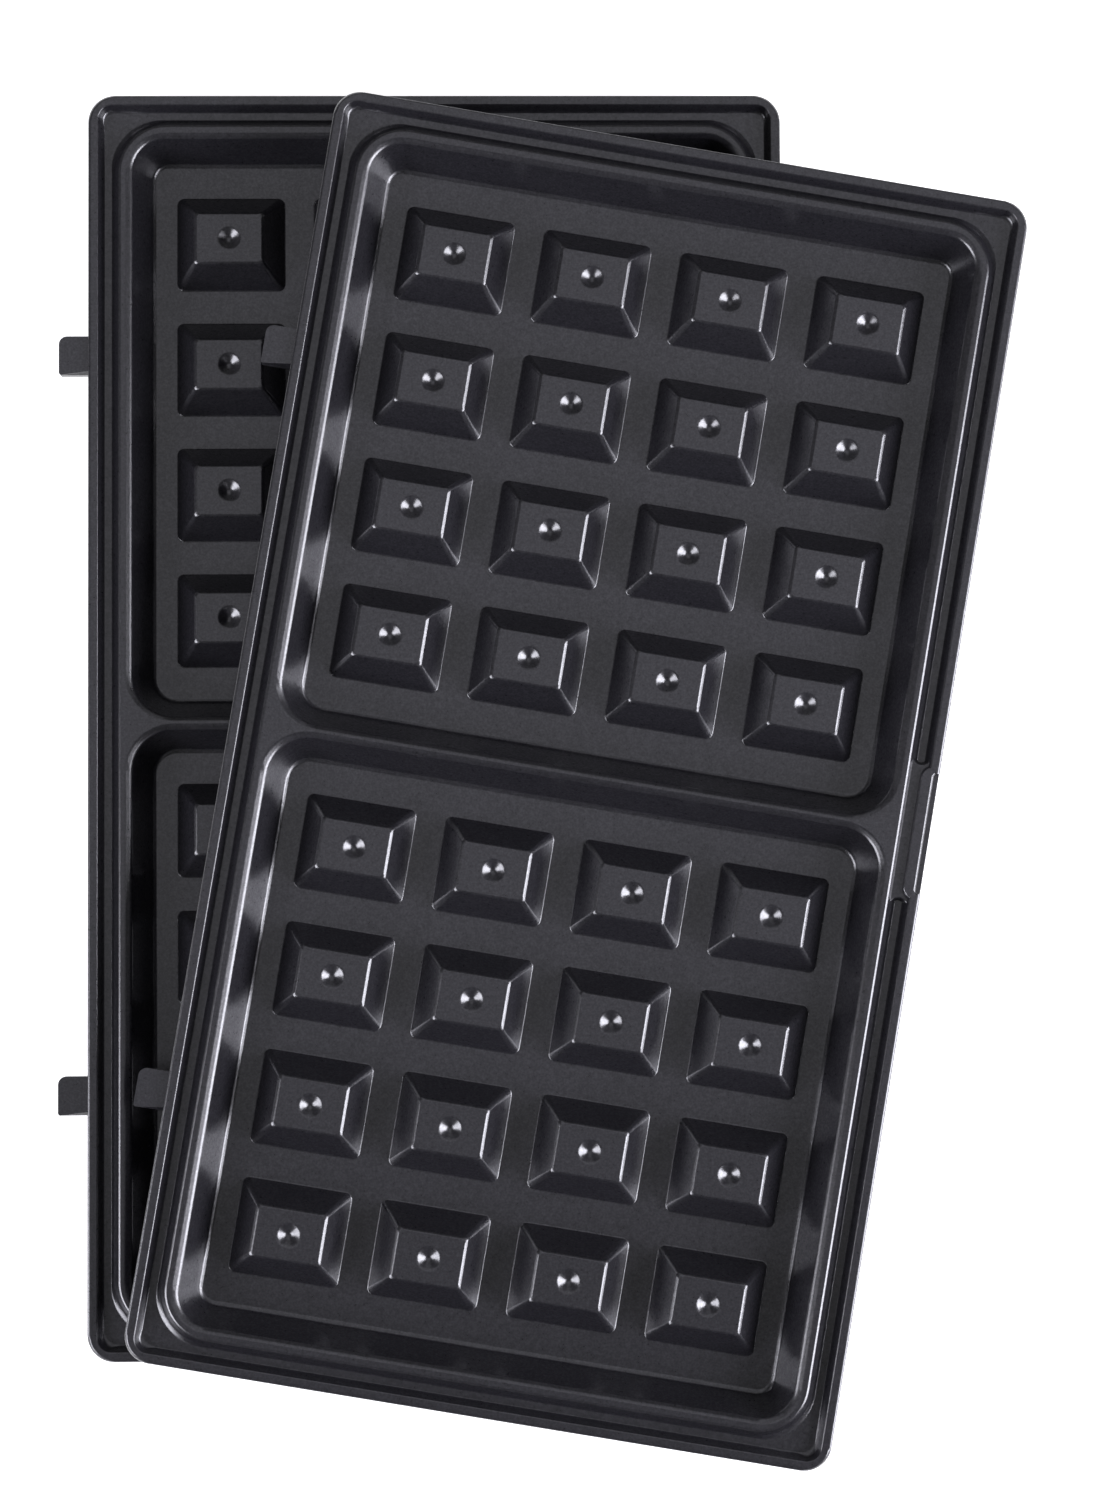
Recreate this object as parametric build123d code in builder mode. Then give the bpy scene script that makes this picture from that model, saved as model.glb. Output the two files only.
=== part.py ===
"""A pair of removable waffle plates for a hinged sandwich maker, one lying on the other."""
import os
from math import atan, cos, degrees, radians, sin

from build123d import *

# Driving sizes in millimetres. X runs across a plate, from its hinge side to its catch side,
# Y runs along it, and Z is up from its underside.

# Outline of a plate, and its levels
plate_length = 235.0
plate_width = 129.4
plate_corner_radius = 5.0
plate_height = 12.0
rim_above_flange = 0.4
skirt_depth = 4.9

# Border, from the outer edge inwards
flange_width = 1.85
flange_inner_radius = 2.7
gutter_depth = 2.7
gutter_outer_run = 0.7
gutter_width = 1.8
rim_outer_run = 1.3
rim_width = 2.3
rim_corner_radius = 8.8

# Waffle pockets, one on each side of the divider
pocket_depth = 8.5
pocket_wall_run = 3.6
divider_width = 1.85
divider_corner_radius = 8.0

# Raised blocks of each pocket
block_columns = 4
block_rows = 4
block_pitch_across = 25.7
block_pitch_along = 23.7
block_foot_across = 20.1
block_foot_along = 17.45
block_top_across = 12.8
block_top_along = 9.4
block_height = 6.9
dimple_diameter = 4.6
dimple_depth = 0.8

# Cored underside, so that the casting's walls are much alike
pan_wall = 2.6
block_core_wall = 2.3
block_core_roof = 2.4
divider_core_height = 7.0
divider_bridge = 14.0
pan_root_radius = 1.0

# Hinge lugs on the hinge edge
lug_spacing = 137.5
lug_width = 7.2
lug_reach = 5.5
lug_thickness = 3.0
lug_below_flange = 1.2
lug_round_corner = 1.5
lug_tight_corner = 0.5
lug_root_radius = 0.9
lug_bevel = 0.8

# Catch in the middle of the other long edge
catch_length = 24.6
catch_pad_width = 3.4
catch_channel_depth = 0.9
catch_end_radius = 1.3
ledge_length = 22.2
ledge_width = 1.0
ledge_depth = 1.5
ledge_end_radius = 0.6

# Roundings of the cast edges
outer_edge_radius = 0.5
inner_edge_radius = 0.35
rim_edge_radius = 0.4
pocket_foot_radius = 0.7
block_edge_radius = 0.4
block_hip_radius = 0.45
block_foot_radius = 0.3
dimple_edge_radius = 0.25

# How the upper plate lies on the lower one
upper_shift_across = 26.2
upper_shift_along = -10.6
upper_turn = -9.75

# Levels above the underside
rim_top = plate_height
flange_top = rim_top - rim_above_flange
skirt_bottom = flange_top - skirt_depth
gutter_floor = flange_top - gutter_depth
pocket_floor = rim_top - pocket_depth
block_top = pocket_floor + block_height
block_core_top = block_top - dimple_depth - block_core_roof
lug_top = flange_top - lug_below_flange
lug_bottom = lug_top - lug_thickness

# Distances in from the outer edge
gutter_inset = flange_width + gutter_outer_run
rim_foot_inset = gutter_inset + gutter_width
rim_inset = rim_foot_inset + rim_outer_run
pocket_inset = rim_inset + rim_width
edge_x = plate_width / 2
lug_run_in = flange_width / 2
lug_far_side = lug_spacing / 2 + lug_width

# Wall slopes, as angles from upright
pocket_slope = degrees(atan(pocket_wall_run / pocket_depth))
gutter_slope = degrees(atan(gutter_outer_run / gutter_depth))
rim_slope = degrees(atan(rim_outer_run / (rim_top - gutter_floor)))

# A pocket's mouth and place
pocket_across = plate_width - 2 * pocket_inset
pocket_along = (plate_length - divider_width) / 2 - pocket_inset
pocket_middle = (pocket_along + divider_width) / 2
pocket_corner_radius = rim_corner_radius - rim_width
pocket_places = [(0, -pocket_middle), (0, pocket_middle)]

# The pan below keeps the slope of the pocket walls, and its wall's thickness
pan_spread = pocket_wall_run * rim_top / pocket_depth - pan_wall
pan_across = plate_width - 2 * (pocket_inset + pan_spread)
pan_along = plate_length - 2 * (pocket_inset + pan_spread)
divider_core_width = divider_width + 2 * pan_spread
divider_core_length = pan_across / 2 - pan_wall - divider_bridge / 2

TINY = 0.01


def flat_edges(part, level):
    """The edges of a part that lie flat at one level."""
    return part.edges().filter_by_position(Axis.Z, level - TINY, level + TINY)


def flat_faces(part, level):
    """The faces of a part that lie flat at one level, the largest one last."""
    return part.faces().filter_by_position(Axis.Z, level - TINY, level + TINY).sort_by(Face.area)


def trapezium(foot, top, low, high):
    """The corners of a symmetric slope profile: across, then up."""
    return [(-foot / 2, low), (foot / 2, low), (top / 2, high), (-top / 2, high)]


# A raised block: a cut-off pyramid with soft hips and a round dimple in its top
with BuildPart() as block:
    with BuildSketch(Plane.XZ):
        Polygon(*trapezium(block_foot_across, block_top_across, pocket_floor, block_top), align=None)
    extrude(amount=block_foot_along, both=True)
    with BuildSketch(Plane.YZ):
        Polygon(*trapezium(block_foot_along, block_top_along, pocket_floor, block_top), align=None)
    extrude(amount=block_foot_across, both=True, mode=Mode.INTERSECT)
    hips = block.edges() - flat_edges(block, pocket_floor) - flat_edges(block, block_top)
    fillet(hips, block_hip_radius)
    fillet(flat_edges(block, block_top), block_edge_radius)
    dimple_radius = (dimple_diameter**2 / 4 + dimple_depth**2) / (2 * dimple_depth)
    with Locations((0, 0, block_top - dimple_depth + dimple_radius)):
        Sphere(dimple_radius, mode=Mode.SUBTRACT)
    dimple_mouth = flat_faces(block, block_top)[-1].inner_wires()[0].edges()
    fillet(dimple_mouth, dimple_edge_radius)

# The hollow under a block, one wall further in, with the block's own slopes
block_slope_across = (block_foot_across - block_top_across) / block_height
block_slope_along = (block_foot_along - block_top_along) / block_height
core_foot_across = block_foot_across + block_slope_across * pocket_floor - 2 * block_core_wall
core_foot_along = block_foot_along + block_slope_along * pocket_floor - 2 * block_core_wall
core_top_across = core_foot_across - block_slope_across * block_core_top
core_top_along = core_foot_along - block_slope_along * block_core_top
with BuildPart() as block_core:
    with BuildSketch(Plane.XZ):
        Polygon(*trapezium(core_foot_across, core_top_across, 0, block_core_top), align=None)
    extrude(amount=core_foot_along, both=True)
    with BuildSketch(Plane.YZ):
        Polygon(*trapezium(core_foot_along, core_top_along, 0, block_core_top), align=None)
    extrude(amount=core_foot_across, both=True, mode=Mode.INTERSECT)

# A hinge lug: one corner rounder than the other, and a bevel along the sharper side
with BuildPart() as lug:
    with BuildSketch(Plane.XY.offset(lug_bottom)) as lug_plan:
        Rectangle(lug_reach + lug_run_in, lug_width)
        fillet(lug_plan.vertices().group_by(Axis.X)[0].sort_by(Axis.Y)[-1], lug_round_corner)
        fillet(lug_plan.vertices().group_by(Axis.X)[0].sort_by(Axis.Y)[0], lug_tight_corner)
    extrude(amount=lug_thickness)
    lug_side = -lug_width / 2
    with BuildSketch(Plane.YZ):
        Polygon(
            (lug_side, lug_bottom),
            (-lug_side, lug_bottom),
            (-lug_side, lug_top),
            (lug_side + lug_bevel, lug_top),
            (lug_side, lug_top - lug_bevel),
            align=None,
        )
    extrude(amount=lug_reach + lug_run_in, both=True, mode=Mode.INTERSECT)

# The lower plate, cast in one piece
with BuildPart() as lower_waffle_plate:
    # Flange slab with its skirt, and below it the pan
    with BuildSketch(Plane.XY.offset(skirt_bottom)):
        RectangleRounded(plate_width, plate_length, plate_corner_radius)
    extrude(amount=skirt_depth)
    fillet(flat_edges(lower_waffle_plate, flange_top), outer_edge_radius)
    with BuildSketch(Plane.XY):
        RectangleRounded(pan_across, pan_along, plate_corner_radius)
    extrude(amount=skirt_bottom, taper=-pocket_slope)
    pan_root = flat_faces(lower_waffle_plate, skirt_bottom)[-1].inner_wires()[0].edges()
    fillet(pan_root, pan_root_radius)

    # Recess inside the flange, whose floor becomes the gutter
    with BuildSketch(Plane.XY.offset(flange_top)):
        RectangleRounded(
            plate_width - 2 * flange_width,
            plate_length - 2 * flange_width,
            flange_inner_radius,
        )
    extrude(amount=-gutter_depth, taper=gutter_slope, mode=Mode.SUBTRACT)

    # Catch: a pad that widens the flange, a shallow channel inside it and a ledge outside it
    channel_width = rim_inset - catch_pad_width
    with BuildSketch(Plane.XY.offset(gutter_floor)) as channel:
        with Locations((edge_x - catch_pad_width - channel_width / 2, 0)):
            Rectangle(channel_width, catch_length)
    extrude(amount=gutter_depth - catch_channel_depth)
    with BuildSketch(Plane.XY.offset(gutter_floor)) as pad:
        with Locations((edge_x - (catch_pad_width + flange_width) / 2, 0)):
            Rectangle(catch_pad_width - flange_width, catch_length)
        fillet(pad.vertices().group_by(Axis.X)[0], catch_end_radius)
    extrude(amount=gutter_depth)
    with BuildSketch(Plane.XY.offset(flange_top)) as ledge:
        with Locations((edge_x, 0)):
            Rectangle(2 * ledge_width, ledge_length)
        fillet(ledge.vertices(), ledge_end_radius)
    extrude(amount=-ledge_depth, mode=Mode.SUBTRACT)
    ledge_x = edge_x - ledge_width
    flange_outline = flat_faces(lower_waffle_plate, flange_top)[-1].outer_wire().edges()
    fillet(flange_outline.filter_by_position(Axis.X, ledge_x - TINY, ledge_x + TINY), inner_edge_radius)
    flange_inside = flat_faces(lower_waffle_plate, flange_top)[-1].inner_wires()[0].edges()
    fillet(flange_inside, inner_edge_radius)

    # Raised rim
    with BuildSketch(Plane.XY.offset(gutter_floor)):
        RectangleRounded(
            plate_width - 2 * rim_foot_inset,
            plate_length - 2 * rim_foot_inset,
            rim_corner_radius + rim_outer_run,
        )
    extrude(amount=rim_top - gutter_floor, taper=rim_slope)

    # The two pockets, rounder beside the divider than at the rim
    with BuildSketch(Plane.XY.offset(rim_top)) as mouths:
        with Locations(*pocket_places):
            Rectangle(pocket_across, pocket_along)
        fillet(mouths.vertices().filter_by(lambda v: abs(v.Y) > pocket_middle), pocket_corner_radius)
        corners = mouths.vertices().filter_by(lambda v: abs(v.Y) < divider_width)
        fillet(corners, divider_corner_radius)
    extrude(amount=-pocket_depth, taper=pocket_slope, mode=Mode.SUBTRACT)
    fillet(flat_edges(lower_waffle_plate, rim_top), rim_edge_radius)
    fillet(flat_edges(lower_waffle_plate, pocket_floor), pocket_foot_radius)

    # Blocks, with a small rounding where they meet the pocket floor
    with Locations(*pocket_places):
        with GridLocations(block_pitch_across, block_pitch_along, block_columns, block_rows):
            add(block.part)
    block_feet = []
    for floor in flat_faces(lower_waffle_plate, pocket_floor):
        for foot in floor.inner_wires():
            block_feet.extend(foot.edges())
    fillet(block_feet, block_foot_radius)

    # Cores
    with Locations(*pocket_places):
        with GridLocations(block_pitch_across, block_pitch_along, block_columns, block_rows):
            add(block_core.part, mode=Mode.SUBTRACT)
    with BuildSketch(Plane.XY):
        with GridLocations(divider_bridge + divider_core_length, 0, 2, 1):
            Rectangle(divider_core_length, divider_core_width)
    extrude(amount=divider_core_height, taper=pocket_slope, mode=Mode.SUBTRACT)

    # Hinge lugs, with rounded roots
    with Locations((-edge_x + (lug_run_in - lug_reach) / 2, 0)):
        with GridLocations(0, lug_spacing, 1, 2):
            add(lug.part)
    lug_roots = lower_waffle_plate.edges().filter_by_position(Axis.X, -edge_x - TINY, -edge_x + TINY)
    lug_roots = lug_roots.filter_by(Axis.Z).filter_by_position(Axis.Y, -lug_far_side, lug_far_side)
    fillet(lug_roots, lug_root_radius)

lower_waffle_plate.part.label = "lower_waffle_plate"

# The upper plate is the same casting, turned a little and lying on the lower one's rim
upper_place = Plane(
    origin=(upper_shift_across, upper_shift_along, plate_height),
    x_dir=(cos(radians(upper_turn)), sin(radians(upper_turn)), 0),
    z_dir=(0, 0, 1),
)
with BuildPart() as upper_waffle_plate:
    with Locations(upper_place.location):
        add(lower_waffle_plate.part)
upper_waffle_plate.part.label = "upper_waffle_plate"

os.makedirs("parts", exist_ok=True)
export_step(lower_waffle_plate.part, "parts/lower_waffle_plate.step")
export_step(upper_waffle_plate.part, "parts/upper_waffle_plate.step")
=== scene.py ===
"""Two removable waffle plates of a sandwich maker, one lying turned on the other, seen from above."""
import logging
from dataclasses import dataclass, field, replace
from enum import Enum
from functools import cached_property
from math import cos, pi, radians, sin, sqrt, tan
from typing import Callable, Iterable, Sequence

import bmesh
import bpy
from mathutils import Matrix, Vector


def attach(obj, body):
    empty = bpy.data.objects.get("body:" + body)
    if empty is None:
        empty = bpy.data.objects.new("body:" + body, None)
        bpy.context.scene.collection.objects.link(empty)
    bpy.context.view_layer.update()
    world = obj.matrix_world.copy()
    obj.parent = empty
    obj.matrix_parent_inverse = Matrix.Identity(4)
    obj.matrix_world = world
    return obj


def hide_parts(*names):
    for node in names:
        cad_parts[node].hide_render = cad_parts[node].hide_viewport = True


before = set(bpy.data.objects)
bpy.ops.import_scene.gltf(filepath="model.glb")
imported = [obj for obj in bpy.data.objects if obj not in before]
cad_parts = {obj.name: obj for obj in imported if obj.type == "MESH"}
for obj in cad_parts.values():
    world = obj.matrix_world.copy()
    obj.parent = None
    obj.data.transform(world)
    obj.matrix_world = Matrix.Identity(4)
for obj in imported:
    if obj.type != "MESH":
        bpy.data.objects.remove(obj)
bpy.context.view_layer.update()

LOG = logging.getLogger("waffle_plates")

# Lengths are in millimetres and areas in square millimetres. MM makes metres of them.
MM = 0.001
NEAR = 0.005
LINES_APART = 5.0
LARGE_FACE = 1000.0
SAME_PLANE = radians(1)
SHARP_BEND = radians(18)
SMOOTH_BEND = radians(35)
FLAT_WEIGHT = 100
ROUNDING_LAYER = "bevel_weight_edge"
WIDEST_ROUNDING = 2.0
ROUNDING_STEPS = 4

# The hollows in the underside.
HOLLOW_BRIM = 0.5
HOLLOW_CORNER_STEPS = 4
HOLLOW_ROUNDING = 0.25
HOLLOW_ROUNDING_STEPS = 2

# The mean of a random pattern from 0 to 1.
PATTERN_MIDDLE = 0.5
WHITE = (1.0, 1.0, 1.0, 1.0)


class Joining(Enum):
    """How one solid shape is worked into another."""

    ADD = "UNION"
    CUT = "DIFFERENCE"


@dataclass(frozen=True)
class Outline:
    """A rounded rectangle at one level: near_radius rounds its corners at -Y, far_radius those at +Y."""

    across: float
    along: float
    level: float
    near_radius: float
    far_radius: float
    corner_steps: int = 12

    @classmethod
    def even(
        cls, across: float, along: float, level: float, radius: float, corner_steps: int = 12
    ) -> "Outline":
        """An outline whose four corners are alike."""
        return cls(across, along, level, radius, radius, corner_steps)

    def inset(self, by: float, level: float | None = None) -> "Outline":
        """The same outline drawn further in, corners and all.

        Args:
            by: distance in from this outline, or out where it is negative.
            level: the new outline's level, or this one's if it isn't given.

        Returns:
            The new outline.
        """
        return replace(
            self,
            across=self.across - 2 * by,
            along=self.along - 2 * by,
            level=self.level if level is None else level,
            near_radius=self.near_radius - by,
            far_radius=self.far_radius - by,
        )


@dataclass(frozen=True)
class Ring:
    """A circle lying at one level."""

    radius: float
    level: float
    steps: int


def at(level: float) -> Callable[[Vector], bool]:
    """A test for the points at one level."""
    return lambda point: abs(point.z - level) < NEAR


def lies_at(part: bmesh.types.BMEdge | bmesh.types.BMFace, level: float) -> bool:
    """Whether all of an edge or face is at one level."""
    return all(abs(vertex.co.z - level) < NEAR for vertex in part.verts)


def deselect_objects() -> None:
    """Leaves object mode with nothing selected."""
    if bpy.context.object and bpy.context.object.mode == "EDIT":
        bpy.ops.object.mode_set(mode="OBJECT")
    bpy.ops.object.select_all(action="DESELECT")


class Shell:
    """One mesh on the bench, worked with edit tools and modifiers."""

    def __init__(self, thing: bpy.types.Object) -> None:
        """Takes an object onto the bench."""
        self.thing = thing

    @classmethod
    def loft(cls, name: str, lines: Sequence[Outline | Ring]) -> "Shell":
        """Draws a stack of lines, bridges each one to the next and slides each to its own level.

        The lines are drawn well apart, so that two at one level are bridged straight across.

        Args:
            name: the new object's name.
            lines: outlines and rings with equal numbers of points, in order.

        Returns:
            An open shell.
        """
        deselect_objects()
        bpy.ops.mesh.primitive_plane_add(size=1)
        shell = cls(bpy.context.object)
        shell.thing.name = name
        shell.edit("VERT")
        bpy.ops.mesh.select_all(action="SELECT")
        bpy.ops.mesh.delete(type="VERT")
        for mark, line in enumerate(lines, start=1):
            shell.draw(line, mark, mark * LINES_APART)
        for mark in range(1, len(lines)):
            shell.bridge(mark, mark + 1)
        for mark, line in enumerate(lines, start=1):
            shell.pick_vertices(lambda v: True, marked=mark)
            bpy.ops.transform.translate(value=(0, 0, line.level - mark * LINES_APART))
        bpy.ops.object.mode_set(mode="OBJECT")
        return shell

    @classmethod
    def cuboid(cls, size: tuple[float, float, float]) -> "Shell":
        """Adds a closed block round the origin.

        Args:
            size: its size across, along and up.

        Returns:
            The block.
        """
        deselect_objects()
        bpy.ops.mesh.primitive_cube_add(size=1)
        block = cls(bpy.context.object)
        block.place(Matrix.Diagonal((*size, 1)))
        return block

    def take_up(self) -> None:
        """Makes this mesh's object the only selected one and the active one."""
        deselect_objects()
        self.thing.select_set(True)
        bpy.context.view_layer.objects.active = self.thing

    def edit(self, select_mode: str) -> None:
        """Goes to edit mode with nothing selected.

        Args:
            select_mode: what is picked there: VERT, EDGE or FACE.
        """
        self.take_up()
        bpy.ops.object.mode_set(mode="EDIT")
        bpy.ops.mesh.select_mode(type=select_mode)
        bpy.ops.mesh.select_all(action="DESELECT")

    def draw(self, line: Outline | Ring, mark: int, height: float) -> None:
        """Adds one line to the mesh in edit mode and marks its points.

        Args:
            line: the outline or ring.
            mark: the number that its points carry.
            height: how high it is drawn.
        """
        bpy.ops.mesh.select_all(action="DESELECT")
        if isinstance(line, Ring):
            bpy.ops.mesh.primitive_circle_add(
                vertices=line.steps, radius=line.radius, fill_type="NOTHING", location=(0, 0, height)
            )
            self.mark_new(mark)
            return
        bpy.ops.mesh.primitive_plane_add(size=1, location=(0, 0, height))
        bpy.ops.transform.resize(value=(line.across, line.along, 1), center_override=(0, 0, height))
        for radius, side in ((line.near_radius, -1), (line.far_radius, 1)):
            self.pick_vertices(lambda v, at_side=side: v.co.y * at_side > 0, marked=0)
            bpy.ops.mesh.bevel(
                offset_type="OFFSET",
                offset=radius,
                segments=line.corner_steps,
                affect="VERTICES",
                profile=0.5,
            )
        self.pick_vertices(lambda v: True, marked=0)
        bpy.ops.mesh.delete(type="ONLY_FACE")
        self.mark_new(mark)

    def marks(self) -> tuple[bmesh.types.BMesh, bmesh.types.BMLayerItem]:
        """Reads the mesh in edit mode.

        Returns:
            The mesh, and the layer that holds its points' marks.
        """
        mesh = bmesh.from_edit_mesh(self.thing.data)
        layer = mesh.verts.layers.int.get("mark") or mesh.verts.layers.int.new("mark")
        return mesh, layer

    def mark_new(self, mark: int) -> None:
        """Marks every point that has no mark yet.

        Args:
            mark: the mark that they get.
        """
        mesh, layer = self.marks()
        for vertex in mesh.verts:
            if vertex[layer] == 0:
                vertex[layer] = mark
        bmesh.update_edit_mesh(self.thing.data)

    def pick_vertices(self, wanted: Callable[[bmesh.types.BMVert], bool], marked: int) -> None:
        """Selects the wanted points among those with one mark.

        Args:
            wanted: tells whether a point is wanted.
            marked: the mark that the points carry.
        """
        bpy.ops.mesh.select_mode(type="VERT")
        bpy.ops.mesh.select_all(action="DESELECT")
        mesh, layer = self.marks()
        for vertex in mesh.verts:
            if vertex[layer] == marked and wanted(vertex):
                vertex.select = True
        mesh.select_flush(True)
        bmesh.update_edit_mesh(self.thing.data)

    def bridge(self, first: int, second: int) -> None:
        """Joins two lines with a band of faces, in edit mode.

        Args:
            first: the first line's mark.
            second: the second line's mark.
        """
        bpy.ops.mesh.select_mode(type="EDGE")
        bpy.ops.mesh.select_all(action="DESELECT")
        mesh, layer = self.marks()
        for edge in mesh.edges:
            ends = {vertex[layer] for vertex in edge.verts}
            if ends in ({first}, {second}):
                edge.select = True
        bmesh.update_edit_mesh(self.thing.data)
        bpy.ops.mesh.bridge_edge_loops()

    def pick_edges(self, wanted: Callable[[bmesh.types.BMEdge], bool]) -> None:
        """Selects the wanted edges in edit mode.

        Args:
            wanted: tells whether an edge is wanted.
        """
        bpy.ops.mesh.select_mode(type="EDGE")
        bpy.ops.mesh.select_all(action="DESELECT")
        mesh = bmesh.from_edit_mesh(self.thing.data)
        for edge in mesh.edges:
            if wanted(edge):
                edge.select = True
        bmesh.update_edit_mesh(self.thing.data)

    def pick_open_line(self, level: float) -> None:
        """Goes to edit mode with the open edges at a level selected."""
        self.edit("EDGE")
        self.pick_edges(lambda e: e.is_boundary and lies_at(e, level))

    def pick_faces(self, wanted: Callable[[bmesh.types.BMFace], bool]) -> None:
        """Goes to edit mode with the wanted faces selected.

        Args:
            wanted: tells whether a face is wanted.
        """
        self.edit("FACE")
        mesh = bmesh.from_edit_mesh(self.thing.data)
        for face in mesh.faces:
            face.select = wanted(face)
        bmesh.update_edit_mesh(self.thing.data)

    def bevel_picked(self, width: float, steps: int) -> None:
        """Cuts the picked edges off in edit mode, round where there is more than one step."""
        bpy.ops.mesh.bevel(offset_type="OFFSET", offset=width, segments=steps, affect="EDGES")

    def close(self, level: float) -> None:
        """Puts one face across the open line at a level.

        Args:
            level: the line's level.
        """
        self.pick_open_line(level)
        bpy.ops.mesh.edge_face_add()
        bpy.ops.object.mode_set(mode="OBJECT")

    def close_to_point(self, level: float) -> None:
        """Closes the open line at a level with a fan of faces to its middle.

        Args:
            level: the line's level.
        """
        self.pick_open_line(level)
        bpy.ops.mesh.extrude_edges_move()
        bpy.ops.mesh.merge(type="CENTER")
        bpy.ops.object.mode_set(mode="OBJECT")

    def fill_flat(self, level: float) -> None:
        """Fills the flat area between all open lines at a level, leaving the holes between them.

        Args:
            level: the lines' level.
        """
        self.pick_open_line(level)
        bpy.ops.mesh.fill(use_beauty=True)
        bpy.ops.object.mode_set(mode="OBJECT")

    def open_flat(self, level: float) -> None:
        """Takes away the large flat face at a level.

        Args:
            level: the face's level.
        """
        self.pick_faces(lambda f: lies_at(f, level) and f.calc_area() > LARGE_FACE)
        bpy.ops.mesh.delete(type="FACE")
        bpy.ops.object.mode_set(mode="OBJECT")

    def merge_flats(self, level: float) -> None:
        """Makes one face of those that lie side by side at a level.

        Args:
            level: the faces' level.
        """
        self.pick_faces(lambda f: lies_at(f, level))
        bpy.ops.mesh.dissolve_limited(angle_limit=SAME_PLANE)
        bpy.ops.object.mode_set(mode="OBJECT")

    def soften(self, width: float | Callable[[Vector], float], wanted: Callable[[Vector], bool]) -> None:
        """Marks sharp edges to be rounded.

        Args:
            width: the rounding's width on each side of the edge, or what gives it from the edge's middle.
            wanted: tells from an edge's middle whether it is one of them.
        """
        mesh = bmesh.new()
        mesh.from_mesh(self.thing.data)
        layers = mesh.edges.layers.float
        weights = layers.get(ROUNDING_LAYER) or layers.new(ROUNDING_LAYER)
        for edge in mesh.edges:
            if len(edge.link_faces) != 2 or edge.calc_face_angle(0) < SHARP_BEND:
                continue
            middle = (edge.verts[0].co + edge.verts[1].co) / 2
            if wanted(middle):
                edge[weights] = (width(middle) if callable(width) else width) / WIDEST_ROUNDING
        mesh.to_mesh(self.thing.data)
        mesh.free()

    def round_edges(self, steps: int = ROUNDING_STEPS, held: bool = True) -> None:
        """Rounds the edges that were marked, and clears their marks.

        Args:
            steps: how many faces each rounding has across.
            held: whether all of the roundings shrink where two would meet.
        """
        bevel = self.thing.modifiers.new("rounding", "BEVEL")
        bevel.limit_method = "WEIGHT"
        bevel.offset_type = "OFFSET"
        bevel.width = WIDEST_ROUNDING
        bevel.segments = steps
        bevel.use_clamp_overlap = held
        bevel.miter_outer = "MITER_ARC"
        self.apply(bevel)
        weights = self.thing.data.attributes.get(ROUNDING_LAYER)
        if weights:
            self.thing.data.attributes.remove(weights)

    def work_in(self, tool: "Shell", joining: Joining) -> None:
        """Adds another closed shape to this one, or cuts it out.

        Args:
            tool: the other shape, which is used up.
            joining: whether it is added or cut.
        """
        boolean = self.thing.modifiers.new("joining", "BOOLEAN")
        boolean.operation = joining.value
        boolean.solver = "EXACT"
        boolean.object = tool.thing
        self.apply(boolean)
        bpy.data.objects.remove(tool.thing)

    def repeat(self, count: int, step: tuple[float, float]) -> None:
        """Repeats the mesh in a row, the row's middle staying where it is.

        Args:
            count: how many there are in the row.
            step: distance from one to the next, across and along.
        """
        array = self.thing.modifiers.new("row", "ARRAY")
        array.count = count
        array.use_relative_offset = False
        array.use_constant_offset = True
        array.constant_offset_displace = (*step, 0)
        self.apply(array)
        self.shift(-step[0] * (count - 1) / 2, -step[1] * (count - 1) / 2)

    def shift(self, across: float, along: float, up: float = 0) -> None:
        """Moves the mesh."""
        self.place(Matrix.Translation((across, along, up)))

    def place(self, matrix: Matrix) -> None:
        """Moves, turns or scales the mesh. Its object lies unturned at the origin before and after.

        Args:
            matrix: the move, turn or scaling.
        """
        self.take_up()
        self.thing.matrix_world = matrix
        bpy.ops.object.transform_apply(location=True, rotation=True, scale=True)

    def apply(self, modifier: bpy.types.Modifier) -> None:
        """Applies one modifier."""
        self.take_up()
        bpy.ops.object.modifier_apply(modifier=modifier.name)

    def copy(self, name: str) -> "Shell":
        """Copies the object and its mesh.

        Args:
            name: the copy's name.

        Returns:
            The copy.
        """
        self.take_up()
        bpy.ops.object.duplicate(linked=False)
        bpy.context.object.name = name
        return Shell(bpy.context.object)

    def join(self, others: Iterable["Shell"]) -> None:
        """Takes other meshes into this one.

        Args:
            others: the other meshes, which are used up.
        """
        self.take_up()
        for other in others:
            other.thing.select_set(True)
        bpy.ops.object.join()

    def face_outwards(self) -> None:
        """Closes the mesh's seams and turns all of its faces outwards."""
        self.edit("VERT")
        bpy.ops.mesh.select_all(action="SELECT")
        bpy.ops.mesh.remove_doubles(threshold=NEAR / 2)
        bpy.ops.mesh.normals_make_consistent(inside=False)
        bpy.ops.object.mode_set(mode="OBJECT")

    def finish(self, name: str) -> None:
        """Closes the seams, turns the faces outwards and gives the flats clean shading.

        Args:
            name: the finished mesh's name.
        """
        self.face_outwards()
        bpy.ops.object.shade_smooth_by_angle(angle=SMOOTH_BEND)
        weighted = self.thing.modifiers.new("flat_normals", "WEIGHTED_NORMAL")
        weighted.mode = "FACE_AREA"
        weighted.weight = FLAT_WEIGHT
        weighted.keep_sharp = True
        self.apply(weighted)
        self.thing.name = name
        self.thing.data.name = name


@dataclass
class Levels:
    """Heights above a plate's underside."""

    rim_top: float = 12.0
    flange_top: float = 11.6
    gutter_floor: float = 9.4
    skirt_bottom: float = 6.7
    pocket_floor: float = 3.5
    block_top: float = 10.4
    core_top: float = 7.2
    underside: float = 0.0


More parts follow.
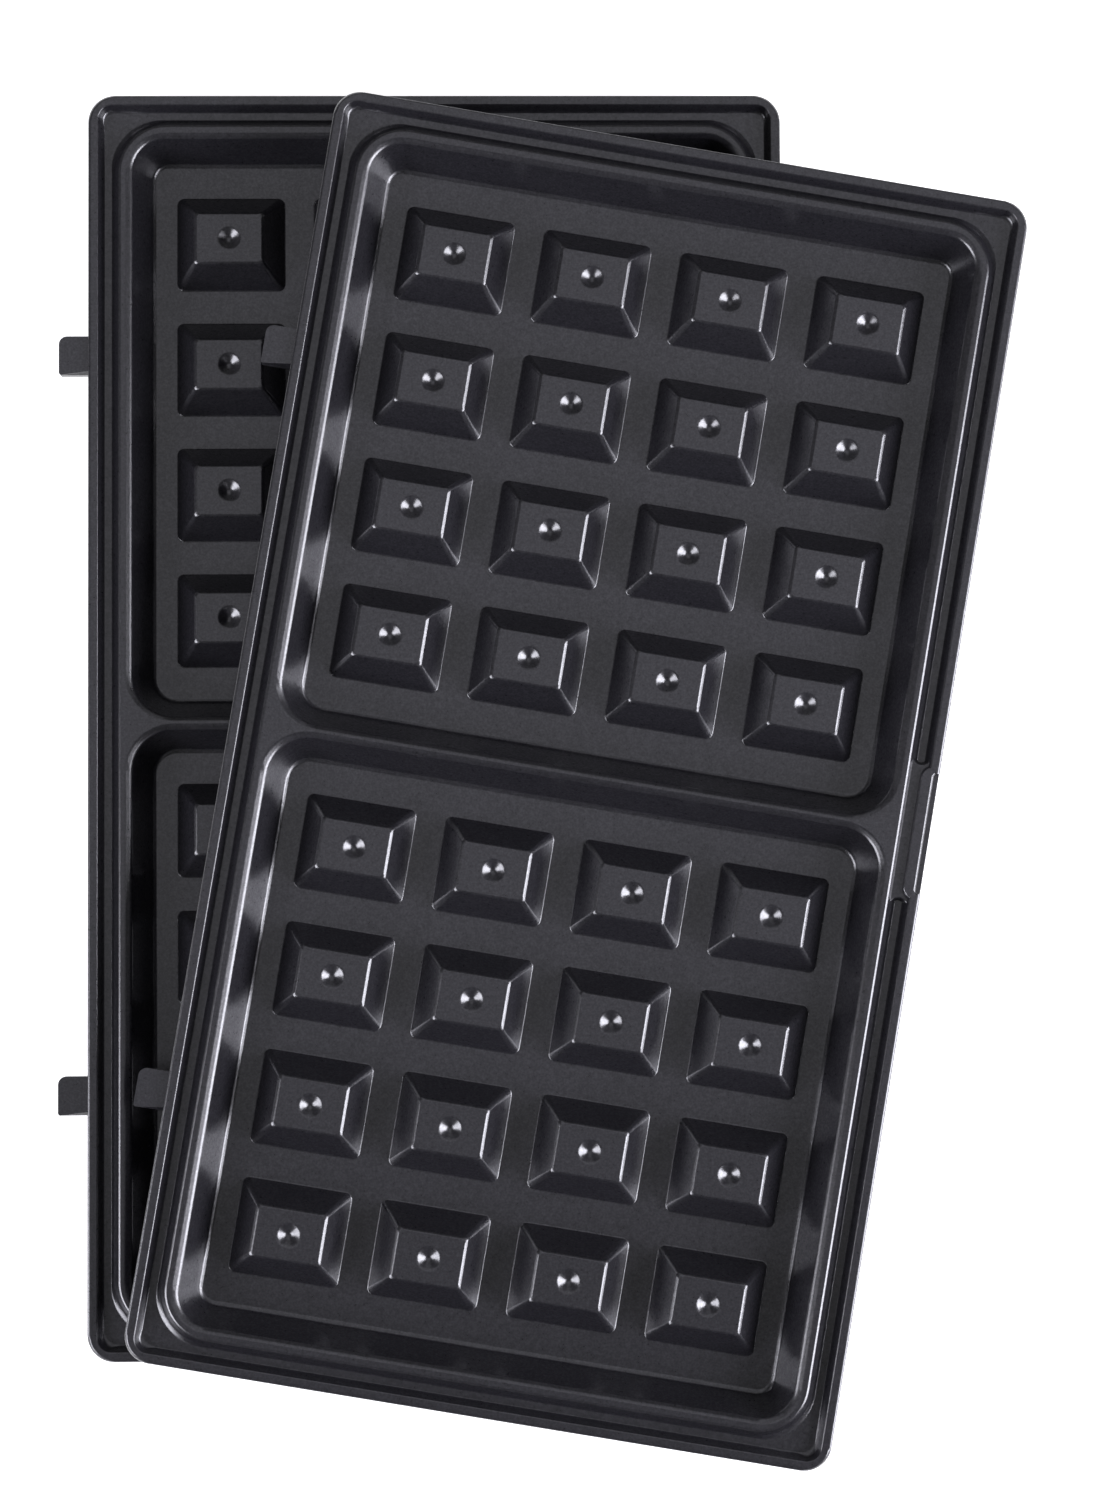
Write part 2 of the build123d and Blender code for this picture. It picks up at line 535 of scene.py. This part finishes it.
@dataclass
class WaffleBlock:
    """A raised block: a cut-off pyramid with soft hips and a round dimple in its top."""

    levels: Levels
    foot_across: float = 20.1
    foot_along: float = 17.45
    top_across: float = 12.8
    top_along: float = 9.4
    foot_corner: float = 1.2
    top_corner: float = 0.7
    corner_steps: int = 7
    apron: float = 0.8
    foot_rounding: float = 0.2
    top_rounding: float = 0.6
    dimple_radius: float = 2.4
    dimple_lip_width: float = 0.5
    dimple_bowl_radius: float = 0.95
    dimple_slope: float = 32.0
    dimple_rings: int = 9
    core_wall: float = 2.3
    core_corner: float = 0.8
    core_roof_rounding: float = 0.6

    def build(self) -> Shell:
        """Models one block, open below.

        Returns:
            The block, standing over the origin on the pocket's floor.
        """
        floor, top = self.levels.pocket_floor, self.levels.block_top
        foot = Outline.even(self.foot_across, self.foot_along, floor, self.foot_corner, self.corner_steps)
        crown = Outline.even(self.top_across, self.top_along, top, self.top_corner, self.corner_steps)
        dimple = self.dimple()
        shell = Shell.loft("waffle_block", [foot.inset(-self.apron), foot, crown, *dimple])
        shell.close_to_point(dimple[-1].level)
        shell.soften(self.foot_rounding, at(floor))
        shell.soften(self.top_rounding, at(top))
        shell.round_edges()
        return shell

    def dimple(self) -> list[Ring]:
        """Draws the dimple.

        Returns:
            Its rings, from its mouth down towards its middle.
        """
        steps = 4 * (self.corner_steps + 1)
        rings = []
        for i in range(self.dimple_rings):
            radius = self.dimple_radius * (1 - i / self.dimple_rings)
            rings.append(Ring(radius, self.levels.block_top - self.dimple_drop(radius), steps))
        return rings

    def dimple_drop(self, radius: float) -> float:
        """How deep the dimple is: it has a round lip, a straight slope and a round bowl.

        Args:
            radius: distance from the dimple's middle, up to its own radius.

        Returns:
            The depth there below the block's top.
        """
        steep = radians(self.dimple_slope)
        lip = self.dimple_lip_width / sin(steep)
        inwards = self.dimple_radius - radius
        if inwards <= self.dimple_lip_width:
            return lip - sqrt(lip**2 - inwards**2)
        bowl = self.dimple_bowl_radius / sin(steep)
        slope_run = self.dimple_radius - self.dimple_lip_width - max(radius, self.dimple_bowl_radius)
        drop = lip * (1 - cos(steep)) + slope_run * tan(steep)
        if radius < self.dimple_bowl_radius:
            drop += sqrt(bowl**2 - radius**2) - bowl * cos(steep)
        return drop

    def core(self) -> Shell:
        """Models the hollow under one block, with the block's own slopes.

        Returns:
            The hollow, open below.
        """
        levels = self.levels
        height = levels.block_top - levels.pocket_floor
        slope_across = (self.foot_across - self.top_across) / height
        slope_along = (self.foot_along - self.top_along) / height
        across = self.foot_across + slope_across * levels.pocket_floor - 2 * self.core_wall
        along = self.foot_along + slope_along * levels.pocket_floor - 2 * self.core_wall
        rise = levels.core_top - levels.underside
        mouth = Outline.even(across, along, levels.underside, self.core_corner, HOLLOW_CORNER_STEPS)
        roof = replace(
            mouth,
            across=across - slope_across * rise,
            along=along - slope_along * rise,
            level=levels.core_top,
        )
        shell = Shell.loft("block_core", [mouth.inset(-HOLLOW_BRIM), mouth, roof])
        shell.close(levels.core_top)
        shell.soften(HOLLOW_ROUNDING, at(levels.underside))
        shell.soften(self.core_roof_rounding, at(levels.core_top))
        shell.round_edges(HOLLOW_ROUNDING_STEPS)
        return shell


@dataclass
class Pocket:
    """One of the two pockets, with its raised blocks."""

    levels: Levels
    block: WaffleBlock
    across: float = 113.5
    along: float = 108.625
    middle: float = 55.2375
    divider_corner: float = 8.0
    rim_corner: float = 6.5
    wall_run: float = 3.6
    floor_ring: float = 0.8
    side_lip: float = 1.35
    end_lip: float = 0.88
    lip_corner: float = 1.1
    side_rounding: float = 1.3
    end_rounding: float = 0.82
    foot_rounding: float = 0.6
    columns: int = 4
    rows: int = 4
    pitch_across: float = 25.7
    pitch_along: float = 23.7

    def build(self) -> Shell:
        """Models the pocket on the +Y side of the divider.

        Returns:
            The pocket, open round its lip.
        """
        floor, top = self.levels.pocket_floor, self.levels.rim_top
        mouth = Outline(self.across, self.along, top, self.divider_corner, self.rim_corner)
        foot = mouth.inset(self.wall_run, floor)
        lip = replace(
            mouth.inset(-self.end_lip),
            across=mouth.across + 2 * self.side_lip,
            near_radius=mouth.near_radius + self.lip_corner,
            far_radius=mouth.far_radius + self.lip_corner,
        )
        tub = Shell.loft("pocket", [lip, mouth, foot, foot.inset(self.floor_ring)])
        tub.soften(self.mouth_width, at(top))
        tub.soften(self.foot_rounding, at(floor))
        tub.round_edges()
        tub.join([self.spread(self.block.build())])
        tub.fill_flat(floor)
        tub.shift(0, self.middle)
        return tub

    def mouth_width(self, point: Vector) -> float:
        """How wide the mouth is rounded: more along the plate's sides than at its ends and the divider."""
        turned = (abs(point.y) - self.along / 2 + self.divider_corner) / self.divider_corner
        return self.side_rounding + (self.end_rounding - self.side_rounding) * min(max(turned, 0.0), 1.0)

    def spread(self, one: Shell) -> Shell:
        """Repeats one shape over the pocket's columns and rows.

        Args:
            one: the shape, over the origin.

        Returns:
            The same shell, now holding all of them.
        """
        one.repeat(self.columns, (self.pitch_across, 0))
        one.repeat(self.rows, (0, self.pitch_along))
        return one

    def cores(self) -> Shell:
        """Models the hollows under this pocket's blocks.

        Returns:
            All of the hollows, open below.
        """
        cores = self.spread(self.block.core())
        cores.shift(0, self.middle)
        return cores


@dataclass
class HingeLug:
    """A flat lug on the hinge edge, with one corner rounder and a bevel along the other side."""

    reach: float = 5.5
    run_in: float = 0.925
    width: float = 7.2
    thickness: float = 3.0
    top: float = 10.4
    round_corner: float = 1.5
    tight_corner: float = 0.5
    corner_steps: int = 6
    bevel: float = 0.8

    def build(self, edge: float, along: float) -> Shell:
        """Models one lug as a closed shape.

        Args:
            edge: how far the plate's edge is from its middle.
            along: where the lug stands along the plate.

        Returns:
            The lug, with its root inside the plate's edge.
        """
        length = self.reach + self.run_in
        lug = Shell.cuboid((length, self.width, self.thickness))
        tip, side, top = NEAR - length / 2, self.width / 2 - NEAR, self.thickness / 2 - NEAR
        lug.edit("EDGE")
        for way, radius in ((1, self.round_corner), (-1, self.tight_corner)):
            lug.pick_edges(
                lambda e, w=way: all(v.co.x < tip and v.co.y * w > side for v in e.verts)
                and abs(e.verts[0].co.z - e.verts[1].co.z) > top
            )
            lug.bevel_picked(radius, self.corner_steps)
        lug.pick_edges(lambda e: all(-v.co.y > side and v.co.z > top for v in e.verts))
        lug.bevel_picked(self.bevel, 1)
        bpy.ops.object.mode_set(mode="OBJECT")
        lug.shift(-edge + self.run_in - length / 2, along, self.top - self.thickness / 2)
        return lug


@dataclass
class Catch:
    """The latch's place in the middle of the other long edge: a pad, a shallow channel and a ledge."""

    levels: Levels
    length: float = 24.6
    pad_width: float = 3.4
    pad_run_in: float = 0.7
    pad_overlap: float = 1.6
    pad_rounding: float = 0.35
    root: float = 0.5
    overlap: float = 1.0
    channel_depth: float = 0.9
    channel_rounding: float = 0.3
    gutter_middle: float = 0.9
    gutter_end_radius: float = 1.0
    gutter_end_steps: int = 40
    end_draft: float = 0.7
    end_radius: float = 2.2
    end_slack: float = 0.1
    ledge_length: float = 22.2
    ledge_width: float = 1.0
    ledge_depth: float = 1.5
    ledge_corner: float = 0.6
    ledge_rounding: float = 0.6
    corner_steps: int = 6
    rounding_steps: int = 3

    def prism(
        self,
        low: tuple[float, float],
        high: tuple[float, float],
        length: float,
        corner: float = 0.0,
        draft: float = 0.0,
    ) -> Shell:
        """Models a closed block with rounded corners on its inner side.

        Args:
            low: its lowest x and z.
            high: its highest x and z.
            length: its length along the plate, at its top.
            corner: the radius of its two corners nearer the plate's middle.
            draft: how much further each of its ends reaches at the bottom.

        Returns:
            The block.
        """
        block = Shell.cuboid((high[0] - low[0], length, high[1] - low[1]))
        block.shift((low[0] + high[0]) / 2, 0, (low[1] + high[1]) / 2)
        if corner > NEAR:
            block.edit("EDGE")
            block.pick_edges(
                lambda e: all(v.co.x < low[0] + NEAR for v in e.verts)
                and abs(e.verts[0].co.z - e.verts[1].co.z) > NEAR
            )
            block.bevel_picked(corner, self.corner_steps)
            bpy.ops.object.mode_set(mode="OBJECT")
        if draft > NEAR:
            block.edit("EDGE")
            block.pick_edges(lambda e: lies_at(e, low[1]))
            bpy.ops.transform.resize(value=(1, 1 + 2 * draft / length, 1), center_override=(0, 0, low[1]))
            bpy.ops.object.mode_set(mode="OBJECT")
        return block

    def gutter_end(self, middle: tuple[float, float], low: float, top: float) -> Shell:
        """Models the round end of the gutter, wider at its top, to be cut from the channel.

        Args:
            middle: the round end's middle.
            low: where the channel's block starts, below the gutter's floor.
            top: the channel's level.

        Returns:
            The shape to cut, reaching past the block above and below.
        """
        deselect_objects()
        slope = self.end_draft / (top - low)
        bpy.ops.mesh.primitive_cone_add(
            vertices=self.gutter_end_steps,
            radius1=self.gutter_end_radius - slope * self.overlap,
            radius2=self.gutter_end_radius + self.end_draft + slope * self.overlap,
            depth=top - low + 2 * self.overlap,
        )
        end = Shell(bpy.context.object)
        end.shift(*middle, (top + low) / 2)
        return end

    def channel(self, low: float, rim_foot: float, pad_x: float) -> Shell:
        """Models the shallow channel that stands in the gutter beside the pad.

        Args:
            low: where its block starts, below the gutter's floor.
            rim_foot: how far the raised rim's foot is from the plate's middle.
            pad_x: how far the pad's inner side is from it.

        Returns:
            The channel's block, with a round end of the gutter cut from each of its ends.
        """
        top = self.levels.flange_top - self.channel_depth
        reach = self.gutter_end_radius + self.end_draft
        block = self.prism(
            (rim_foot - self.overlap, low), (pad_x + self.pad_overlap, top), self.length + 2 * reach
        )
        for side in (-1, 1):
            middle = (rim_foot + self.gutter_middle, side * (self.length / 2 + reach))
            block.work_in(self.gutter_end(middle, low, top), Joining.CUT)
        ends = self.length / 2 - self.end_slack
        block.soften(self.channel_rounding, lambda p: at(top)(p) and abs(p.y) > ends)
        block.round_edges(self.rounding_steps)
        return block

    def work_into(self, border: Shell, edge: float, rim_foot: float) -> None:
        """Adds the pad and channel to the border and cuts the ledge.

        Args:
            border: the plate's border.
            edge: how far the plate's edge is from its middle.
            rim_foot: how far the raised rim's foot is from the plate's middle.
        """
        low, top = self.levels.gutter_floor - self.root, self.levels.flange_top
        pad_x, ledge_x = edge - self.pad_width, edge - self.ledge_width
        channel = self.channel(low, rim_foot, pad_x)
        pad_high = (edge - self.pad_run_in, top)
        pad = self.prism((pad_x, low), pad_high, self.length, self.end_radius, self.end_draft)
        pad.soften(self.pad_rounding, at(top))
        pad.round_edges(self.rounding_steps)
        ledge_low, ledge_high = (ledge_x, top - self.ledge_depth), (edge + self.overlap, top + self.overlap)
        ledge = self.prism(ledge_low, ledge_high, self.ledge_length, self.ledge_corner)
        border.work_in(channel, Joining.ADD)
        border.work_in(pad, Joining.ADD)
        border.work_in(ledge, Joining.CUT)
        border.merge_flats(top)
        ledge_end = self.ledge_length / 2 + NEAR
        border.soften(
            self.ledge_rounding,
            lambda p: at(top)(p) and p.x > ledge_x - NEAR and abs(p.y) < ledge_end,
        )
        border.round_edges(held=False)


@dataclass
class Border:
    """The plate round its pockets: skirt, flange, gutter and raised rim, with the pan below."""

    levels: Levels
    across: float = 129.4
    along: float = 235.0
    corner: float = 5.0
    corner_slack: float = 0.2
    flange_width: float = 1.85
    flange_inner_radius: float = 2.7
    gutter_outer_run: float = 0.8
    gutter_width: float = 1.9
    rim_outer_run: float = 1.3
    rim_corner: float = 8.8
    pan_across: float = 108.536
    pan_along: float = 214.136
    pan_corner: float = 5.0
    pan_run: float = 2.838
    lug_spacing: float = 137.5
    outer_rounding: float = 0.7
    inner_rounding: float = 0.18
    gutter_rounding: float = 0.8
    rim_rounding: float = 0.38
    pan_rounding: float = 0.8
    skirt_rounding: float = 0.25
    underside_rounding: float = 0.5

    @property
    def edge(self) -> float:
        """How far the long edges are from the middle."""
        return self.across / 2

    def build(self, lug: HingeLug, catch: Catch) -> Shell:
        """Models the border, open where the pockets and the underside's hollows come.

        Args:
            lug: the hinge lugs' sizes.
            catch: the latch's place.

        Returns:
            The border.
        """
        levels = self.levels
        skirt = Outline.even(self.across, self.along, levels.skirt_bottom, self.corner)
        flange = replace(skirt, level=levels.flange_top)
        recess = Outline.even(
            self.across - 2 * self.flange_width,
            self.along - 2 * self.flange_width,
            levels.flange_top,
            self.flange_inner_radius,
        )
        gutter = recess.inset(self.gutter_outer_run, levels.gutter_floor)
        rim_top_inset = self.flange_width + self.gutter_outer_run + self.gutter_width + self.rim_outer_run
        rim = Outline.even(
            self.across - 2 * rim_top_inset,
            self.along - 2 * rim_top_inset,
            levels.rim_top,
            self.rim_corner,
        )
        rim_foot = rim.inset(-self.rim_outer_run, levels.gutter_floor)
        pan = Outline.even(self.pan_across, self.pan_along, levels.underside, self.pan_corner)
        root = pan.inset(-self.pan_run, levels.skirt_bottom)
        border = Shell.loft("border", [pan, root, skirt, flange, recess, gutter, rim_foot, rim])
        border.close(levels.rim_top)
        border.close(levels.underside)
        border.face_outwards()
        self.soften(border)
        border.round_edges()
        catch.work_into(border, self.edge, rim_foot.across / 2)
        for side in (-1, 1):
            border.work_in(lug.build(self.edge, side * self.lug_spacing / 2), Joining.ADD)
        border.open_flat(levels.rim_top)
        border.open_flat(levels.underside)
        return border

    def soften(self, border: Shell) -> None:
        """Marks each sharp edge of the border with its rounding.

        Args:
            border: the border, before its catch and lugs are worked in.
        """
        levels, outer = self.levels, self.on_outline
        border.soften(self.pan_rounding, lambda p: at(levels.skirt_bottom)(p) and not outer(p))
        border.soften(self.skirt_rounding, lambda p: at(levels.skirt_bottom)(p) and outer(p))
        border.soften(self.underside_rounding, at(levels.underside))
        border.soften(self.outer_rounding, lambda p: at(levels.flange_top)(p) and outer(p))
        border.soften(self.inner_rounding, lambda p: at(levels.flange_top)(p) and not outer(p))
        border.soften(self.gutter_rounding, at(levels.gutter_floor))
        border.soften(self.rim_rounding, at(levels.rim_top))

    def on_outline(self, point: Vector) -> bool:
        """Whether a point is on the plate's outline, seen from above.

        Args:
            point: the point.

        Returns:
            True on a straight side and on an outer corner's rounding.
        """
        side, end = self.edge, self.along / 2
        if abs(point.x) > side - NEAR or abs(point.y) > end - NEAR:
            return True
        off_centre = Vector((abs(point.x) - side + self.corner, abs(point.y) - end + self.corner))
        return min(off_centre) > 0 and off_centre.length > self.corner - self.corner_slack


@dataclass
class DividerSlots:
    """The two hollows under the divider, with a bridge between them."""

    levels: Levels
    length: float = 44.668
    width: float = 6.815
    height: float = 7.0
    run: float = 2.965
    offset: float = 29.334
    corner: float = 1.6
    roof_corner: float = 0.3

    def build(self) -> Shell:
        """Models both hollows.

        Returns:
            The hollows, open below.
        """
        underside = self.levels.underside
        mouth = Outline.even(self.length, self.width, underside, self.corner, HOLLOW_CORNER_STEPS)
        roof = Outline.even(
            self.length - 2 * self.run,
            self.width - 2 * self.run,
            self.height,
            self.roof_corner,
            HOLLOW_CORNER_STEPS,
        )
        slot = Shell.loft("divider_slot", [mouth.inset(-HOLLOW_BRIM), mouth, roof])
        slot.close(self.height)
        slot.soften(HOLLOW_ROUNDING, at(underside))
        slot.round_edges(HOLLOW_ROUNDING_STEPS)
        slot.repeat(2, (2 * self.offset, 0))
        return slot


@dataclass
class WafflePlate:
    """One removable plate, cast in one piece."""

    levels: Levels = field(default_factory=Levels)
    lug: HingeLug = field(default_factory=HingeLug)

    def build(self) -> Shell:
        """Models the whole plate.

        Returns:
            The plate, lying at the origin.
        """
        half_turn = Matrix.Rotation(pi, 4, "Z")
        pocket = Pocket(self.levels, WaffleBlock(self.levels))
        plate = Border(self.levels).build(self.lug, Catch(self.levels))
        far_pocket = pocket.build()
        near_pocket = far_pocket.copy("near_pocket")
        near_pocket.place(half_turn)
        far_cores = pocket.cores()
        near_cores = far_cores.copy("near_cores")
        near_cores.place(half_turn)
        slots = DividerSlots(self.levels).build()
        plate.join([far_pocket, near_pocket, far_cores, near_cores, slots])
        plate.fill_flat(self.levels.rim_top)
        plate.fill_flat(self.levels.underside)
        return plate


@dataclass(frozen=True)
class Resting:
    """How a plate lies in the row's frame: its middle in millimetres and its turn in degrees."""

    node: str
    body: str
    middle: tuple[float, float, float]
    turn: float

    def matrix(self) -> Matrix:
        """From the bench's millimetres to the frame's metres."""
        turn = Matrix.Rotation(radians(self.turn), 4, "Z")
        return Matrix.Scale(MM, 4) @ Matrix.Translation(self.middle) @ turn


class Value:
    """A number that runs through a material's nodes, written with plain arithmetic."""

    def __init__(self, nodes: "Nodes", socket: bpy.types.NodeSocket) -> None:
        """Wraps an output socket."""
        self.nodes = nodes
        self.socket = socket

    def maths(self, operation: str, other: "Value | float") -> "Value":
        """Adds a Math node for this value and another one or a number."""
        node = self.nodes.add("ShaderNodeMath", {"operation": operation}, {0: self, 1: other})
        return Value(self.nodes, node.outputs[0])

    def __add__(self, other: "Value | float") -> "Value":
        """Sum."""
        return self.maths("ADD", other)

    __radd__ = __add__

    def __sub__(self, other: "Value | float") -> "Value":
        """Difference."""
        return self.maths("SUBTRACT", other)

    def __mul__(self, other: "Value | float") -> "Value":
        """Product."""
        return self.maths("MULTIPLY", other)


class Nodes:
    """The node tree of one material."""

    def __init__(self, name: str) -> None:
        """Starts a material with an empty tree.

        Args:
            name: the material's name.
        """
        self.material = bpy.data.materials.new(name)
        self.material.use_nodes = True
        self.tree = self.material.node_tree
        self.tree.nodes.clear()

    @cached_property
    def spot(self) -> bpy.types.NodeSocket:
        """Where a point is on its own object."""
        return self.add("ShaderNodeTexCoord", {}, {}).outputs["Object"]

    def add(
        self,
        kind: str,
        settings: dict[str, object],
        inputs: dict[str | int, "Value | bpy.types.NodeSocket | float | tuple[float, ...]"],
    ) -> bpy.types.Node:
        """Adds a node.

        Args:
            kind: the node's type.
            settings: its own settings, set first.
            inputs: values or links for its sockets, by name or number.

        Returns:
            The node.
        """
        node = self.tree.nodes.new(kind)
        for setting, value in settings.items():
            setattr(node, setting, value)
        for socket, value in inputs.items():
            if isinstance(value, Value):
                value = value.socket
            if isinstance(value, bpy.types.NodeSocket):
                self.tree.links.new(value, node.inputs[socket])
            else:
                node.inputs[socket].default_value = value
        return node

    def grain(self, size: float, detail: float = 2.0, roughness: float = 0.5) -> Value:
        """A soft random pattern from 0 to 1.

        Args:
            size: the size of its spots, in millimetres.
            detail: how many finer layers it has.
            roughness: how strong the finer layers are.

        Returns:
            The pattern.
        """
        node = self.add(
            "ShaderNodeTexNoise",
            {},
            {"Vector": self.spot, "Scale": 1 / (size * MM), "Detail": detail, "Roughness": roughness},
        )
        return Value(self, node.outputs["Fac"])

    def blend(
        self, amount: Value, first: tuple[float, ...], second: tuple[float, ...]
    ) -> bpy.types.NodeSocket:
        """A colour between two, by an amount from 0 to 1: sockets 6, 7 and 2 are the node's colour ones."""
        node = self.add("ShaderNodeMix", {"data_type": "RGBA"}, {0: amount, 6: first, 7: second})
        return node.outputs[2]


@dataclass(frozen=True)
class NonStickCoating:
    """A dark satin release coat, sprayed on and baked, with a fine mottle and a faint orange peel."""

    name: str = "nonstick_coating"
    dark: tuple[float, float, float, float] = (0.0075, 0.0072, 0.0089, 1.0)
    light: tuple[float, float, float, float] = (0.0167, 0.0162, 0.0198, 1.0)
    cloud_share: float = 0.4
    shade_shift: float = 0.7
    gloss_level: float = 0.24
    gloss_spread: float = 1.1
    gloss_roughness: float = 0.3
    gloss_index: float = 1.75
    roughness: float = 0.28
    roughness_spread: float = 0.03
    mottle_size: float = 0.8
    fine_size: float = 0.4
    cloud_size: float = 22.0
    peel_size: float = 1.6
    peel_height: float = 0.002

    def material(self) -> bpy.types.Material:
        """Makes the coat's material.

        Returns:
            The material.
        """
        nodes = Nodes(self.name)
        mottle = nodes.grain(self.mottle_size, detail=2.0, roughness=0.6)
        fine = nodes.grain(self.fine_size, detail=1.0)
        cloud = nodes.grain(self.cloud_size, detail=2.0)
        shade = mottle + fine + cloud * self.cloud_share - self.shade_shift
        gloss = (mottle + fine - 2 * PATTERN_MIDDLE) * self.gloss_spread + self.gloss_level
        roughness = self.roughness - self.roughness_spread / 2 + mottle * self.roughness_spread
        peel = nodes.grain(self.peel_size, detail=1.0)
        bump = nodes.add(
            "ShaderNodeBump", {}, {"Strength": 1.0, "Distance": self.peel_height * MM, "Height": peel}
        )
        coat = nodes.add(
            "ShaderNodeBsdfPrincipled",
            {},
            {
                "Base Color": nodes.blend(shade, self.dark, self.light),
                "Roughness": roughness,
                "Coat Weight": gloss,
                "Coat Roughness": self.gloss_roughness,
                "IOR": self.gloss_index,
                "Normal": bump.outputs["Normal"],
            },
        )
        nodes.add("ShaderNodeOutputMaterial", {}, {"Surface": coat.outputs[0]})
        return nodes.material


@dataclass(frozen=True)
class Softbox:
    """A lamp with a soft square face, aimed at a point. Places and sizes are in metres."""

    name: str
    place: tuple[float, float, float]
    aim: tuple[float, float, float]
    width: float
    height: float
    watts: float
    colour: tuple[float, float, float] = (0.97, 0.965, 1.07)

    def light(self) -> None:
        """Hangs the lamp."""
        lamp = bpy.data.lights.new(self.name, "AREA")
        lamp.shape = "RECTANGLE"
        lamp.size = self.width
        lamp.size_y = self.height
        lamp.energy = self.watts
        lamp.color = self.colour
        thing = bpy.data.objects.new(self.name, lamp)
        bpy.context.collection.objects.link(thing)
        place = Vector(self.place)
        thing.location = place
        thing.rotation_euler = (Vector(self.aim) - place).to_track_quat("-Z", "Y").to_euler()


@dataclass
class Studio:
    """The white table, the lamps and the camera over it. Places and sizes are in metres."""

    camera_place: tuple[float, float, float] = (0.0066708, -0.0362728, 0.66041)
    camera_forward: tuple[float, float, float] = (0.023052, 0.0476875, -0.998596)
    camera_up: tuple[float, float, float] = (0.0044979, 0.9988467, 0.0478033)
    camera_sight: float = 10.0
    focal_pixels: float = 3501.22
    image_height: float = 1500.0
    sensor: float = 36.0
    table_size: float = 30.0
    table_drop: float = 0.0001
    table_colour: tuple[float, float, float, float] = (0.7, 0.7, 0.7, 1.0)
    table_glow: float = 0.88
    room_light: float = 0.1
    lamps: tuple[Softbox, ...] = (
        Softbox("left_softbox", (-0.60, -0.32, 0.38), (0.0, -0.06, 0.0), 0.52, 0.38, 6.0),
        Softbox("right_softbox", (0.70, -0.20, 0.36), (0.03, -0.06, 0.0), 0.62, 0.46, 11.4),
        Softbox("overhead_panel", (0.10, 1.22, 1.60), (0.10, 1.22, 0.0), 1.7, 2.8, 6.3),
    )

    def build(self) -> None:
        """Sets up the whole studio."""
        self.lay_table()
        self.light_room()
        for lamp in self.lamps:
            lamp.light()
        self.place_camera()

    def lay_table(self) -> None:
        """Lays the white table top, just under the plates so that the two faces don't fight.

        It shows white to the camera and in reflections, and keeps a faint shadow.
        """
        deselect_objects()
        bpy.ops.mesh.primitive_plane_add(size=self.table_size, location=(0, 0, -self.table_drop))
        table = bpy.context.object
        table.name = "table_top"
        nodes = Nodes("white_table")
        matt = nodes.add("ShaderNodeBsdfDiffuse", {}, {"Color": self.table_colour})
        path = nodes.add("ShaderNodeLightPath", {}, {})
        seen = Value(nodes, path.outputs["Is Camera Ray"]) + Value(nodes, path.outputs["Is Glossy Ray"])
        seen = seen + Value(nodes, path.outputs["Is Transmission Ray"])
        glow = nodes.add("ShaderNodeEmission", {}, {"Color": WHITE, "Strength": seen * self.table_glow})
        both = nodes.add("ShaderNodeAddShader", {}, {0: matt.outputs[0], 1: glow.outputs[0]})
        nodes.add("ShaderNodeOutputMaterial", {}, {"Surface": both.outputs[0]})
        table.data.materials.append(nodes.material)

    def light_room(self) -> None:
        """Fills the room with a little even light."""
        world = bpy.data.worlds.new("room")
        world.use_nodes = True
        background = world.node_tree.nodes["Background"]
        background.inputs["Color"].default_value = WHITE
        background.inputs["Strength"].default_value = self.room_light
        bpy.context.scene.world = world
        bpy.context.scene.view_settings.view_transform = "Standard"

    def place_camera(self) -> None:
        """Puts the camera where the photograph was taken from."""
        lens = bpy.data.cameras.new("camera")
        lens.sensor_width = self.sensor
        lens.lens = self.focal_pixels / self.image_height * self.sensor
        lens.clip_end = self.camera_sight
        camera = bpy.data.objects.new("camera", lens)
        bpy.context.collection.objects.link(camera)
        back = -Vector(self.camera_forward).normalized()
        up = Vector(self.camera_up).normalized()
        right = up.cross(back)
        turn = Matrix((right, up, back)).transposed()
        camera.matrix_world = Matrix.Translation(self.camera_place) @ turn.to_4x4()
        bpy.context.scene.camera = camera


RESTING = (
    Resting("lower_waffle_plate", "lower_plate", (0.0, 0.0, 0.0), 0.0),
    Resting("upper_waffle_plate", "upper_plate", (26.2, -10.6, 12.0), -9.75),
)


def main() -> None:
    """Builds the plates, dresses them and sets up the studio."""
    logging.basicConfig(level=logging.INFO, format="%(name)s: %(message)s")
    coating = NonStickCoating().material()
    first = WafflePlate().build()
    first.finish("cast_plate")
    for rest in RESTING:
        plate = first.copy(f"{rest.node}_coated")
        plate.place(rest.matrix())
        piece = plate.thing
        piece.data.name = piece.name
        piece.data.materials.clear()
        piece.data.materials.append(coating)
        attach(piece, rest.body)
        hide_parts(rest.node)
        LOG.info("%s: %d faces", piece.name, len(piece.data.polygons))
    bpy.data.objects.remove(first.thing)
    Studio().build()


if __name__ == "__main__":
    main()
